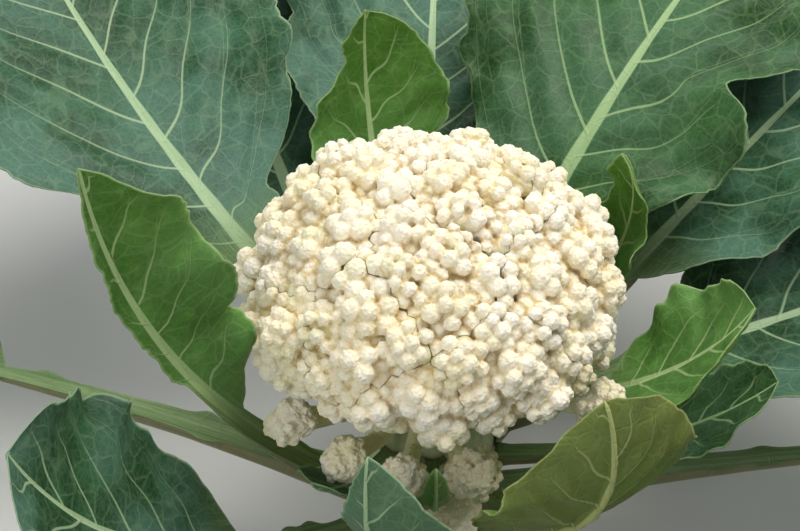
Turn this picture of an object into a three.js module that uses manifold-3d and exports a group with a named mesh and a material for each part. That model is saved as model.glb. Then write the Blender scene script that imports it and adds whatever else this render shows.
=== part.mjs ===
// A whole cauliflower plant top, cut at the foot of its stem: the stem, the florets of the
// curd, a few loose side florets and the leaves. Millimetres, +Z up, origin at the centre of
// the cut face that it stands on.
import * as THREE from 'three';
import { mergeVertices } from 'three/addons/utils/BufferGeometryUtils.js';
import Module from 'manifold-3d';

const wasm = await Module();
wasm.setup();

// Driving dimensions.
const GAP = 0.3; // clear space between pieces that touch
const STEM_RADIUS = 30; // at the cut foot
const STEM_NECK = 33; // widest, under the curd
const STEM_TOP = 186; // where the stem ends inside the curd
const CURD_RADIUS = 88;
const CURD_RIM = 165; // height of the curd's widest ring
const CURD_HEIGHT = 64; // of the dome above that ring
const DOME_TAPER = 1.12; // above 1 the dome draws in towards its crown
const CURD_NECK = 122; // where the lowest florets leave the stem
const FLORETS = 16; // primary branches of the curd
const FLORET_SPAN = 98; // degrees from the crown down to the last floret
const GOLDEN_ANGLE = 137.508; // degrees between one branch and the next
const LOBE_SINK = 0.42; // a floret's rounding centre, as a part of its crown's height
const BLADE = 1.4; // leaf blade's thickness
const LATE_BEND = 1.3; // above 1 a leaf bends more towards its tip
const ROLLED_BY = 0.5; // share of a leaf's length by which it is fully rolled
const PETIOLE_WING = 2.5; // thin edge along each side of a leaf stalk

const COLOURS = {
  curd: { color: 0xf1e6c4, roughness: 0.75 },
  stalk: { color: 0xdfe3bd, roughness: 0.6 },
  leaf: { color: 0x5f8a6b, roughness: 0.55 },
  young_leaf: { color: 0x8fb35f, roughness: 0.5 },
};

// Each leaf: azimuth of its stalk, height on the stem, length along the midrib, elevation at
// the foot and at the tip, turn of the midrib sideways, roll about the midrib, blade width, how
// much wider one half is than the other, how pointed the blade is, share of the length that is
// bare stalk, cup of the blade, and half-width of the stalk's foot. Lengths in millimetres,
// angles in degrees.
const LEAVES = {
  back_left_leaf: { azimuth: 138, height: 72, length: 330, rise: 22, tip: 34, sweep: -14,
    roll: 0, width: 185, uneven: 0, point: 0.5, stalk: 0.3, cup: 22, foot: 11 },
  back_left_lower_leaf: { azimuth: 116, height: 40, length: 335, rise: 14, tip: 38, sweep: -10,
    roll: 0, width: 170, uneven: 0, point: 0.5, stalk: 0.32, cup: 15, foot: 11 },
  back_leaf: { azimuth: 90, height: 66, length: 320, rise: 22, tip: 18, sweep: -4,
    roll: 0, width: 180, uneven: 0, point: 0.5, stalk: 0.32, cup: 18, foot: 10 },
  back_right_leaf: { azimuth: 57, height: 86, length: 300, rise: 34, tip: 14, sweep: -6,
    roll: 0, width: 190, uneven: 0, point: 0.6, stalk: 0.26, cup: 12, foot: 11 },
  right_upper_leaf: { azimuth: 36, height: 45, length: 320, rise: 34, tip: 24, sweep: 2,
    roll: 0, width: 140, uneven: 0, point: 0.5, stalk: 0.36, cup: 18, foot: 10 },
  right_leaf: { azimuth: 12, height: 74, length: 270, rise: 14, tip: 6, sweep: 8,
    roll: 0, width: 170, uneven: 0, point: 0.5, stalk: 0.36, cup: 20, foot: 10 },
  right_low_leaf: { azimuth: 2, height: 28, length: 330, rise: 9, tip: -4, sweep: 2,
    roll: 0, width: 150, uneven: 0, point: 0.5, stalk: 0.56, cup: 15, foot: 10 },
  left_low_leaf: { azimuth: 172, height: 26, length: 350, rise: 21, tip: -8, sweep: -8,
    roll: 0, width: 150, uneven: 0, point: 0.5, stalk: 0.56, cup: 15, foot: 10 },
  front_left_leaf: { azimuth: 220, height: 25, length: 262, rise: 16, tip: 72, sweep: -14,
    roll: -30, width: 120, uneven: 0, point: 0.6, stalk: 0.36, cup: 20, foot: 10 },
  front_low_leaf: { azimuth: 264, height: 20, length: 290, rise: 10, tip: 4, sweep: 4,
    roll: 0, width: 150, uneven: 0, point: 0.5, stalk: 0.34, cup: 18, foot: 10 },
  front_right_low_leaf: { azimuth: 322, height: 40, length: 280, rise: 6, tip: 6, sweep: 2,
    roll: 0, width: 140, uneven: 0, point: 0.5, stalk: 0.34, cup: 18, foot: 10 },
  left_wrapper_leaf: { azimuth: 209, height: 40, length: 290, rise: 43, tip: 86, sweep: -12,
    roll: -78, width: 50, uneven: -0.7, point: 0.85, stalk: 0.4, cup: 16, foot: 9 },
  right_cupped_leaf: { azimuth: 352, height: 98, length: 150, rise: 2, tip: 66, sweep: 2,
    roll: 0, width: 74, uneven: 0, point: 0.6, stalk: 0.42, cup: 36, foot: 7 },
  right_dark_leaf: { azimuth: 347, height: 62, length: 160, rise: 10, tip: 52, sweep: 4,
    roll: 0, width: 56, uneven: 0, point: 0.6, stalk: 0.42, cup: 20, foot: 6 },
  front_right_wrapper_leaf: { azimuth: 307, height: 62, length: 182, rise: 4, tip: 116, sweep: 8,
    roll: -14, width: 112, uneven: 0, point: 0.8, stalk: 0.3, cup: 22, foot: 8 },
  back_inner_leaf: { azimuth: 103, height: 104, length: 192, rise: 0, tip: 106, sweep: 0,
    roll: 0, width: 80, uneven: 0, point: 0.6, stalk: 0.34, cup: 26, foot: 7 },
  right_inner_leaf: { azimuth: 29, height: 100, length: 158, rise: 0, tip: 122, sweep: 0,
    roll: 0, width: 40, uneven: 0, point: 0.9, stalk: 0.4, cup: 30, foot: 5 },
  front_small_leaf: { azimuth: 256, height: 56, length: 166, rise: 8, tip: 108, sweep: 0,
    roll: -10, width: 56, uneven: 0.5, point: 0.9, stalk: 0.36, cup: 24, foot: 6 },
  front_curled_leaf: { azimuth: 271, height: 86, length: 100, rise: -8, tip: 100, sweep: 0,
    roll: 0, width: 15, uneven: 0, point: 0.8, stalk: 0.4, cup: 50, foot: 4 },
  front_left_small_leaf: { azimuth: 237, height: 86, length: 88, rise: 0, tip: 60, sweep: 0,
    roll: 0, width: 34, uneven: 0, point: 0.7, stalk: 0.4, cup: 24, foot: 5 },
};
const YOUNG = ['left_wrapper_leaf', 'right_cupped_leaf', 'back_inner_leaf', 'right_inner_leaf',
  'front_curled_leaf', 'front_right_wrapper_leaf'];

// Each loose side floret: the middle of its head, the head's radius, and where it leaves the stem.
const SIDE_FLORETS = {
  side_floret_far_left: { head: [-62, -46, 124], radius: 13, foot: 110 },
  side_floret_left: { head: [-38, -62, 117], radius: 12.5, foot: 104 },
  side_floret_middle: { head: [-12, -69, 113], radius: 12, foot: 108 },
  side_floret_right: { head: [18, -66, 112], radius: 14, foot: 104 },
  side_floret_far_right: { head: [76, -36, 125], radius: 13, foot: 114 },
  side_floret_low: { head: [13, -64, 80], radius: 13, foot: 70 },
};

const radians = THREE.MathUtils.degToRad;
const lerp = THREE.MathUtils.lerp;

// Solids: a closed three.js geometry to a manifold and back.
function toSolid(geometry) {
  const bare = geometry.clone();
  bare.deleteAttribute('normal');
  bare.deleteAttribute('uv');
  const merged = mergeVertices(bare, 1e-4);
  return new wasm.Manifold(new wasm.Mesh({
    numProp: 3,
    vertProperties: new Float32Array(merged.attributes.position.array),
    triVerts: new Uint32Array(merged.index.array),
  }));
}

function toGeometry(solid) {
  const mesh = solid.getMesh();
  const geometry = new THREE.BufferGeometry();
  geometry.setAttribute('position', new THREE.BufferAttribute(mesh.vertProperties, 3));
  geometry.setIndex(new THREE.BufferAttribute(mesh.triVerts, 1));
  geometry.computeVertexNormals();
  return geometry;
}

// The largest of a solid's separate lumps, so that every piece is one body.
function mainBody(solid) {
  const lumps = solid.decompose();
  return lumps.reduce((most, lump) => (lump.volume() > most.volume() ? lump : most));
}

// A turned solid about the Z axis from [radius, height] pairs, lowest first.
function turned(profile, segments) {
  const points = profile.map(([radius, height]) => new THREE.Vector2(radius, height));
  const geometry = new THREE.LatheGeometry(points, segments);
  geometry.rotateX(Math.PI / 2);
  return toSolid(geometry);
}

function ball(centre, radius, detail = 2) {
  const geometry = new THREE.IcosahedronGeometry(radius, detail);
  geometry.translate(...centre.toArray());
  return toSolid(geometry);
}

// The stem: a thick round stalk that swells under the curd and tapers away inside it.
function stemProfile(grow) {
  const taper = STEM_RADIUS * 0.45;
  return [
    [0, -grow],
    [STEM_RADIUS + grow, -grow],
    [STEM_RADIUS + 1 + grow, CURD_NECK * 0.35],
    [STEM_NECK + grow, CURD_NECK * 0.85],
    [STEM_NECK * 0.95 + grow, CURD_NECK + 8],
    [taper + grow, STEM_TOP - 6],
    [0, STEM_TOP + grow],
  ];
}
const stem = turned(stemProfile(0), 24);
const stemClearance = turned(stemProfile(GAP), 24);

// The curd's outer shape: a dome above the rim, and a cone below it that runs in to the stem.
function curdBody() {
  const profile = [[0, CURD_NECK], [STEM_NECK + 2, CURD_NECK], [CURD_RADIUS * 0.66, CURD_RIM - 32],
    [CURD_RADIUS * 0.9, CURD_RIM - 22]];
  const steps = 7;
  for (let step = 0; step <= steps; step += 1) {
    const angle = (step / steps) * (Math.PI / 2);
    const radius = step === steps ? 0 : CURD_RADIUS * Math.cos(angle) ** DOME_TAPER;
    profile.push([radius, CURD_RIM + CURD_HEIGHT * Math.sin(angle)]);
  }
  return turned(profile, 30);
}

// The middle of each floret's crown, in a golden-angle spiral that opens out down the dome.
function crown(index) {
  const span = 1 - Math.cos(radians(FLORET_SPAN));
  const polar = Math.acos(1 - ((index + 0.5) / FLORETS) * span);
  const azimuth = radians(index * GOLDEN_ANGLE);
  return new THREE.Vector3(
    CURD_RADIUS * Math.sin(polar) * Math.cos(azimuth),
    CURD_RADIUS * Math.sin(polar) * Math.sin(azimuth),
    CURD_RIM + CURD_HEIGHT * Math.cos(polar),
  );
}

// A floret is the part of the curd nearer to its own crown than to any other, rounded at the
// top and cut clear of the stem.
function floret(curd, crowns, index) {
  const own = crowns[index];
  let solid = curd;
  crowns.forEach((other, neighbour) => {
    if (neighbour === index) {
      return;
    }
    const normal = own.clone().sub(other).normalize();
    const middle = own.clone().add(other).multiplyScalar(0.5);
    solid = solid.trimByPlane(normal.toArray(), normal.dot(middle) + GAP / 2);
  });
  const root = new THREE.Vector3(0, 0, CURD_NECK + 10);
  const centre = root.clone().lerp(own, LOBE_SINK);
  solid = solid.intersect(ball(centre, own.distanceTo(centre) + 1, 3));
  return mainBody(solid.subtract(stemClearance));
}

// A loose floret: a round head on a bent stalk that tapers from the stem.
function sideFloret({ head, radius, foot }) {
  const centre = new THREE.Vector3(...head);
  const azimuth = Math.atan2(centre.y, centre.x);
  const start = new THREE.Vector3(Math.cos(azimuth) * 16, Math.sin(azimuth) * 16, foot);
  const middle = start.clone().lerp(centre, 0.55);
  middle.z -= 5;
  const path = new THREE.CatmullRomCurve3([start, middle, centre]);
  const section = new THREE.Shape();
  section.absarc(0, 0, radius * 0.36, 0, Math.PI * 2);
  const stalk = new THREE.ExtrudeGeometry(section,
    { steps: 5, curveSegments: 4, extrudePath: path });
  const solid = ball(centre, radius, 1).add(toSolid(stalk));
  return mainBody(solid.subtract(stemClearance));
}

// A leaf's midrib, as places with a side and an up direction, from inside the stem to the tip.
function midrib(leaf, stations) {
  const fine = 8;
  const steps = (stations - 1) * fine;
  const azimuth = radians(leaf.azimuth);
  const place = new THREE.Vector3(Math.cos(azimuth), Math.sin(azimuth), 0)
    .multiplyScalar(STEM_RADIUS * 0.7).setZ(leaf.height);
  const heading = (share) => {
    const elevation = radians(lerp(leaf.rise, leaf.tip, share ** LATE_BEND));
    const turn = azimuth + radians(leaf.sweep) * share ** 1.5;
    return {
      along: new THREE.Vector3(Math.cos(elevation) * Math.cos(turn),
        Math.cos(elevation) * Math.sin(turn), Math.sin(elevation)),
      side: new THREE.Vector3(-Math.sin(turn), Math.cos(turn), 0),
    };
  };
  const places = [];
  for (let step = 0; step <= steps; step += 1) {
    if (step % fine === 0) {
      const { along, side } = heading(step / steps);
      side.applyAxisAngle(along, radians(leaf.roll) * Math.min(1, step / steps / ROLLED_BY));
      places.push({ place: place.clone(), side, up: along.clone().cross(side) });
    }
    place.addScaledVector(heading((step + 0.5) / steps).along, leaf.length / steps);
  }
  return places;
}

// Half-width of the blade at a share of the leaf's length: an oval, wider towards the tip.
function bladeHalfWidth(leaf, share) {
  const along = Math.max(0, (share - leaf.stalk) / (1 - leaf.stalk));
  const start = 0.75;
  const end = leaf.point;
  const peak = (start / (start + end)) ** start * (end / (start + end)) ** end;
  return (leaf.width / 2) * (along ** start * (1 - along) ** end) / peak;
}

// A leaf: rings across the midrib, thick at the rib below and thin at the edges, closed at
// both ends.
function leafSolid(leaf) {
  const stations = leaf.length > 200 ? 11 : 9;
  const rings = midrib(leaf, stations).map(({ place, side, up }, station) => {
    const share = station / (stations - 1);
    const rib = leaf.foot * lerp(1, 0.16, Math.min(1, share * 1.15));
    const narrowest = rib + PETIOLE_WING * (1 - share) + 0.6;
    const blade = bladeHalfWidth(leaf, share);
    const right = Math.max(narrowest, blade * (1 - leaf.uneven));
    const left = Math.max(narrowest, blade * (1 + leaf.uneven));
    const depth = rib * 0.85;
    const cup = radians(leaf.cup);
    const top = [-right, -(right + rib) / 2, -rib, 0, rib, (left + rib) / 2, left];
    const across = (x, lower) => {
      const half = x < 0 ? right : left;
      const bend = cup * Math.abs(x / half);
      return place.clone()
        .addScaledVector(side, (Math.sin(bend) / cup) * half * Math.sign(x))
        .addScaledVector(up, ((1 - Math.cos(bend)) / cup) * half - lower);
    };
    const upper = top.map((x) => across(x, 0));
    const lower = top.map((x) => across(x, x === 0 ? BLADE + depth : BLADE));
    return [...upper, ...lower.reverse()];
  });
  const sides = rings[0].length;
  const positions = rings.flat().flatMap((point) => point.toArray());
  const index = [];
  for (let ring = 0; ring < rings.length - 1; ring += 1) {
    for (let corner = 0; corner < sides; corner += 1) {
      const next = (corner + 1) % sides;
      const a = ring * sides + corner;
      const b = ring * sides + next;
      index.push(a, a + sides, b, b, a + sides, b + sides);
    }
  }
  const last = (rings.length - 1) * sides;
  const columns = sides / 2;
  for (let column = 0; column < columns - 1; column += 1) {
    const under = sides - 1 - column;
    index.push(column, column + 1, under, under, column + 1, under - 1);
    index.push(last + column, last + under, last + column + 1,
      last + under, last + under - 1, last + column + 1);
  }
  const geometry = new THREE.BufferGeometry();
  geometry.setAttribute('position', new THREE.Float32BufferAttribute(positions, 3));
  geometry.setIndex(index);
  return mainBody(toSolid(geometry).subtract(stemClearance));
}

function piece(name, solid, colour) {
  const material = new THREE.MeshStandardMaterial({ ...COLOURS[colour], metalness: 0 });
  const mesh = new THREE.Mesh(toGeometry(solid), material);
  mesh.name = name;
  return mesh;
}

const cauliflower = new THREE.Group();
cauliflower.add(piece('stem', stem, 'stalk'));

const curd = curdBody();
const crowns = Array.from({ length: FLORETS }, (_, index) => crown(index));
crowns.forEach((_, index) => {
  const name = `floret_${String(index + 1).padStart(2, '0')}`;
  cauliflower.add(piece(name, floret(curd, crowns, index), 'curd'));
});

Object.entries(SIDE_FLORETS).forEach(([name, shape]) => {
  cauliflower.add(piece(name, sideFloret(shape), 'curd'));
});

Object.entries(LEAVES).forEach(([name, leaf]) => {
  cauliflower.add(piece(name, leafSolid(leaf), YOUNG.includes(name) ? 'young_leaf' : 'leaf'));
});

export default cauliflower;
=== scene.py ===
"""A whole cauliflower plant top: a granular curd of florets, their leaves and the cut stem."""
import math

import bpy
import numpy as np
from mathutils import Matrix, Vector


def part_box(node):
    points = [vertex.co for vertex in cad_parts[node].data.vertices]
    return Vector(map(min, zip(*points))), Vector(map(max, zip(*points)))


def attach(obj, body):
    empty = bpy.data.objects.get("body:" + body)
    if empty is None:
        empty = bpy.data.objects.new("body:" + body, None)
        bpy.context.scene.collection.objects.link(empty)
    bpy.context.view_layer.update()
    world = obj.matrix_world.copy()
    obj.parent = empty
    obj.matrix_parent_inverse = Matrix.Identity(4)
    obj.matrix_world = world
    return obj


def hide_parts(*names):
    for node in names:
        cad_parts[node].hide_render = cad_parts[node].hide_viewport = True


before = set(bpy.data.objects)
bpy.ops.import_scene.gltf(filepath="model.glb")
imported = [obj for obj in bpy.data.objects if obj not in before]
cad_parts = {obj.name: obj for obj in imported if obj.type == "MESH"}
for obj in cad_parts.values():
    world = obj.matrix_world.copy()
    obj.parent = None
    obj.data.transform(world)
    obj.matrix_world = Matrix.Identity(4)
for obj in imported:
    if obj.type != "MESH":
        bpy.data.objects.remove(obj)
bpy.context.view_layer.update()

MM = 0.001
GAP = 0.3 * MM
GOLDEN_ANGLE = math.radians(137.508)
TURN = 2 * math.pi
# Random phases lie in about one full turn, and places in a hexagonal packing each take about
# this share of the square of their spacing. FAR is further than any two points of the plant.
PHASE_SPAN = 6.28
PACKING = 0.866
FAR = 1.0

# ---------------------------------------------------------------- places from the frame
STEM_NECK, _, STEM_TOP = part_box("stem")[1]
STEM_RADIUS = STEM_NECK * 30 / 33
FLORET_NODES = sorted(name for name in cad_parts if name.startswith("floret_"))
SIDE_NODES = sorted(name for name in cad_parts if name.startswith("side_floret_"))
CURD_LOW = np.min([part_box(name)[0] for name in FLORET_NODES], axis=0)
CURD_HIGH = np.max([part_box(name)[1] for name in FLORET_NODES], axis=0)
CURD_RADIUS = CURD_HIGH[1]
CURD_NECK = CURD_LOW[2]
CURD_RIM = CURD_NECK + 43 * MM
CURD_HEIGHT = CURD_HIGH[2] - CURD_RIM
DOME_TAPER = 1.12
UNDERSIDE_HEIGHT = 0.8
UNDERSIDE_TUCK = 0.9
FLORET_SPAN = math.radians(98)
CURD_CENTRE = np.array([0.0, 0.0, CURD_RIM])

# ---------------------------------------------------------------- looks, measured
LOBE_RADIUS = 14 * MM
LOBE_SPACING = 26 * MM
LOBE_RELIEF = 9.0 * MM
KNOB_RADIUS = 4.2 * MM
KNOB_CROWDING = 0.95
KNOB_SPACING = 7.3 * MM
UNDER_RADIUS = 5.2 * MM
UNDER_DEPTH = 7.0 * MM
GRANULE_RADIUS = 1.1 * MM
GRANULE_SPACING = 2.5 * MM
OVERHANG = 5.0 * MM
POINTS_AT_ONCE = 4000
LOWEST_KNOB = math.radians(114)
TRUNK_RADIUS = 11 * MM
TRUNK_LENGTH = 40 * MM
BRANCH_RADII = np.array([10, 10, 8, 6]) * MM
CORE_RADIUS = 7 * MM
VOXEL = 0.61 * MM
LEAF_STEP = 2.5 * MM


# ---------------------------------------------------------------- mesh helpers
def mesh_object(name, points, faces, smooth=True):
    """An object from an array of points and one array of faces, all of one size."""
    points = np.asarray(points, dtype=np.float32)
    faces = np.asarray(faces, dtype=np.int32)
    count, size = faces.shape
    mesh = bpy.data.meshes.new(name)
    mesh.vertices.add(len(points))
    mesh.vertices.foreach_set("co", points.ravel())
    mesh.loops.add(count * size)
    mesh.loops.foreach_set("vertex_index", faces.ravel())
    mesh.polygons.add(count)
    mesh.polygons.foreach_set("loop_start", np.arange(0, count * size, size, dtype=np.int32))
    mesh.update(calc_edges=True)
    if smooth:
        mesh.polygons.foreach_set("use_smooth", np.ones(count, dtype=bool))
    mesh.validate()
    piece = bpy.data.objects.new(name, mesh)
    bpy.context.scene.collection.objects.link(piece)
    return piece


def add_attribute(mesh, name, values):
    layer = mesh.attributes.new(name, "FLOAT", "POINT")
    layer.data.foreach_set("value", np.asarray(values, dtype=np.float32))


def vertex_array(mesh):
    points = np.empty(len(mesh.vertices) * 3, dtype=np.float32)
    mesh.vertices.foreach_get("co", points)
    return points.reshape(-1, 3).astype(float)


def set_vertices(mesh, points):
    mesh.vertices.foreach_set("co", points.astype(np.float32).ravel())
    mesh.update()


def edge_array(mesh):
    edges = np.empty(len(mesh.edges) * 2, dtype=np.int32)
    mesh.edges.foreach_get("vertices", edges)
    return edges.reshape(-1, 2)


def relax(points, edges, rounds, share=0.5):
    """Points moved towards the mean of their neighbours."""
    count = len(points)
    degree = np.bincount(edges.ravel(), minlength=count)[:, None]
    for _ in range(rounds):
        total = np.stack([
            np.bincount(edges[:, 0], points[edges[:, 1], axis], count)
            + np.bincount(edges[:, 1], points[edges[:, 0], axis], count)
            for axis in range(3)], axis=1)
        points = points + share * (total / np.maximum(degree, 1) - points)
    return points


def smoothstep(low, high, value):
    share = np.clip((value - low) / (high - low), 0, 1)
    return share * share * (3 - 2 * share)


def unit(vector):
    return vector / np.maximum(np.linalg.norm(vector, axis=-1, keepdims=True), 1e-12)


def sphere_directions(count, turn=0.0):
    """Evenly spread directions over a sphere, from pole to pole in a golden-angle spiral."""
    index = np.arange(count) + 0.5
    height = 1 - 2 * index / count
    ring = np.sqrt(1 - height * height)
    angle = index * GOLDEN_ANGLE + turn
    return np.stack([ring * np.cos(angle), ring * np.sin(angle), height], axis=1)


def icosahedron():
    """The twelve points of an icosahedron on the unit ball, and its faces."""
    golden = (1 + math.sqrt(5)) / 2
    points = []
    for a in (-1, 1):
        for b in (-golden, golden):
            points += [(0, a, b), (a, b, 0), (b, 0, a)]
    points = unit(np.array(points, dtype=float))
    edge = np.linalg.norm(points[:, None] - points[None], axis=2)
    near = (edge > 0.1) & (edge < 1.2)
    faces = []
    for i in range(12):
        for j in range(i + 1, 12):
            for k in range(j + 1, 12):
                if near[i, j] and near[j, k] and near[i, k]:
                    across = np.cross(points[j] - points[i], points[k] - points[i])
                    faces.append((i, j, k) if across @ points[i] > 0 else (i, k, j))
    return points, np.array(faces)


def split_faces(points, faces):
    """Each triangle of a ball becomes four, with the new points on the ball."""
    corners = points[faces]
    middles = unit(np.stack([corners[:, a] + corners[:, (a + 1) % 3] for a in range(3)], axis=1))
    base = len(points)
    added = base + np.arange(len(faces) * 3).reshape(-1, 3)
    a, b, c = faces.T
    ab, bc, ca = added.T
    split = np.concatenate([np.stack(t, axis=1) for t in
                            ((a, ab, ca), (ab, b, bc), (ca, bc, c), (ab, bc, ca))])
    joined = np.concatenate([points, middles.reshape(-1, 3)])
    _, first, inverse = np.unique(np.round(joined, 6), axis=0, return_index=True, return_inverse=True)
    return joined[first], inverse.ravel()[split]


ICO_12 = icosahedron()
ICO_42 = split_faces(*ICO_12)
ICO_162 = split_faces(*ICO_42)


def balls(centres, radii, ico):
    """Many balls as one set of points and triangles."""
    points, faces = ico
    centres = np.asarray(centres, dtype=float).reshape(-1, 3)
    radii = np.broadcast_to(np.asarray(radii, dtype=float), len(centres))
    placed = centres[:, None] + radii[:, None, None] * points[None]
    shifted = faces[None] + (np.arange(len(centres)) * len(points))[:, None, None]
    return placed.reshape(-1, 3), shifted.reshape(-1, 3)


def ring_quads(rings, sides):
    """The faces between rings of points that follow each other."""
    start = np.arange(rings - 1)[:, None] * sides + np.arange(sides)
    after = np.roll(start, -1, axis=1)
    return np.stack([start, after, after + sides, start + sides], axis=-1).reshape(-1, 4)


def tapered_branch(path, radii, sides=14):
    """A closed round branch along a path of points."""
    path = np.asarray(path, dtype=float)
    along = unit(np.gradient(path, axis=0))
    side = unit(np.cross(along, [0.13, 0.31, 0.94]))
    up = np.cross(along, side)
    angle = np.linspace(0, TURN, sides, endpoint=False)[None, :, None]
    turned = np.cos(angle) * side[:, None] + np.sin(angle) * up[:, None]
    rings = path[:, None] + np.asarray(radii)[:, None, None] * turned
    points = np.concatenate([rings.reshape(-1, 3), path[:1], path[-1:]])
    quads = ring_quads(len(path), sides)
    corner = np.arange(sides)
    after = np.roll(corner, -1)
    top = (len(path) - 1) * sides
    middle = np.full(sides, len(points) - 2)
    low_cap = np.stack([middle, after, corner], axis=1)
    high_cap = np.stack([middle + 1, top + corner, top + after], axis=1)
    return points, np.concatenate([quads[:, [0, 1, 2]], quads[:, [0, 2, 3]], low_cap, high_cap])


def joined(parts):
    """Many sets of points and triangles as one."""
    points, faces, start = [], [], 0
    for part_points, part_faces in parts:
        points.append(part_points)
        faces.append(part_faces + start)
        start += len(part_points)
    return np.concatenate(points), np.concatenate(faces)


def remeshed(name, parts, voxel):
    """One closed skin around many overlapping closed shapes."""
    source = mesh_object(name + "_source", *joined(parts))
    modifier = source.modifiers.new("skin", "REMESH")
    modifier.mode = "VOXEL"
    modifier.voxel_size = voxel
    graph = bpy.context.evaluated_depsgraph_get()
    mesh = bpy.data.meshes.new_from_object(source.evaluated_get(graph))
    old = source.data
    bpy.data.objects.remove(source)
    bpy.data.meshes.remove(old)
    mesh.name = name
    piece = bpy.data.objects.new(name, mesh)
    bpy.context.scene.collection.objects.link(piece)
    return piece


def finish_piece(piece, node, material):
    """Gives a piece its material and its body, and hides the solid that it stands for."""
    piece.data.materials.clear()
    piece.data.materials.append(material)
    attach(piece, "root")
    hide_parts(node)


# ---------------------------------------------------------------- node helpers
class Nodes:
    """A short way to write a material's node tree."""

    def __init__(self, name):
        self.material = bpy.data.materials.new(name)
        self.material.use_nodes = True
        self.tree = self.material.node_tree
        self.tree.nodes.clear()
        self.output = self.tree.nodes.new("ShaderNodeOutputMaterial")

    def add(self, kind, inputs=None, **settings):
        node = self.tree.nodes.new("ShaderNode" + kind)
        for key, value in settings.items():
            setattr(node, key, value)
        for key, value in (inputs or {}).items():
            self.put(node.inputs[key], value)
        return node

    def put(self, socket, value):
        if isinstance(value, bpy.types.NodeSocket):
            self.tree.links.new(value, socket)
        else:
            socket.default_value = value

    def attribute(self, name):
        return self.add("Attribute", attribute_name=name).outputs["Fac"]

    def math(self, operation, a, b=0.0, c=0.0):
        return self.add("Math", {0: a, 1: b, 2: c}, operation=operation).outputs[0]

    def ramp(self, value, low, high, start=0.0, end=1.0):
        """A smooth step of value from low to high."""
        node = self.add("MapRange", {0: value, 1: low, 2: high, 3: start, 4: end},
                        interpolation_type="SMOOTHSTEP")
        return node.outputs[0]

    def mix(self, share, a, b, blend="MIX"):
        node = self.add("Mix", data_type="RGBA", blend_type=blend)
        self.put(node.inputs["Factor"], share)
        self.put(node.inputs[6], a)
        self.put(node.inputs[7], b)
        return node.outputs[2]

    def total(self, *parts):
        """The sum of some values, each times its own weight."""
        result = 0.0
        for value, weight in parts:
            result = self.math("MULTIPLY_ADD", value, weight, result)
        return result

    def noise(self, vector, scale, detail=3.0, roughness=0.55):
        return self.add("TexNoise", {"Vector": vector, "Scale": scale, "Detail": detail,
                                     "Roughness": roughness}).outputs["Fac"]

    def finish(self, shader):
        self.tree.links.new(shader, self.output.inputs["Surface"])
        return self.material


def colour(red, green, blue):
    return (red, green, blue, 1.0)


# ---------------------------------------------------------------- materials
CREAM = colour(0.90, 0.83, 0.63)
WARM_WHITE = colour(0.94, 0.90, 0.79)
# Painted shade for the curd's creases: a darker ochre put between the beads and the knobs.
OCHRE_CREASE_SHADE = colour(0.76, 0.56, 0.20)
# Painted shade for the deep clefts between the curd's lobes.
CLEFT_SHADE_BROWN = colour(0.46, 0.31, 0.09)
GREENISH = colour(0.72, 0.71, 0.40)
STALK_CREAM = colour(0.76, 0.71, 0.42)


def curd_material():
    """Cream knobs, with painted shade in ochre between them and in brown between the lobes, and beads too
    small to model.
    """
    n = Nodes("curd_surface")
    place = n.add("TexCoord").outputs["Object"]
    fine = n.attribute("fine_crease")
    knob = n.attribute("knob_crease")
    lobe = n.attribute("lobe_crease")
    stalk = n.attribute("stalk")
    patch = n.noise(place, 26.0, 3.0)
    grain = n.noise(place, 900.0, 2.0)
    bead = n.add("TexVoronoi", {"Vector": place, "Scale": 620.0}, feature="F1").outputs["Distance"]
    seam = n.ramp(bead, 0.28, 0.62)
    top = n.mix(n.ramp(patch, 0.38, 0.64), CREAM, WARM_WHITE)
    warm = n.mix(n.ramp(n.noise(place, 60.0, 2.0), 0.5, 0.75, 0.0, 0.45), top, GREENISH)
    # Painted shade: ochre in the gaps between the beads, then in the small creases and between the knobs.
    tone = n.mix(n.math("MULTIPLY", seam, 0.12), warm, OCHRE_CREASE_SHADE)
    tone = n.mix(n.ramp(fine, 0.15, 0.90, 0.0, 0.42), tone, OCHRE_CREASE_SHADE)
    tone = n.mix(n.ramp(knob, 0.20, 0.95, 0.0, 0.70), tone, OCHRE_CREASE_SHADE)
    # Painted shade: brown in the clefts between the lobes, stronger the further they lie below the dome.
    tone = n.mix(n.ramp(lobe, 0.22, 0.90, 0.0, 0.72), tone, CLEFT_SHADE_BROWN)
    tone = n.mix(stalk, tone, n.mix(patch, STALK_CREAM, GREENISH))
    height = n.total((grain, 0.3), (seam, -0.9))
    bump = n.add("Bump", {"Height": height, "Strength": 0.55, "Distance": 0.45 * MM}).outputs[0]
    shader = n.add("BsdfPrincipled", {
        "Base Color": tone, "Roughness": n.ramp(grain, 0.3, 0.7, 0.58, 0.78),
        "Specular IOR Level": 0.35, "Subsurface Weight": 0.28, "Subsurface Scale": 1.4 * MM,
        "Subsurface Radius": (1.0, 0.7, 0.4), "Normal": bump})
    return n.finish(shader.outputs[0])


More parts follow.
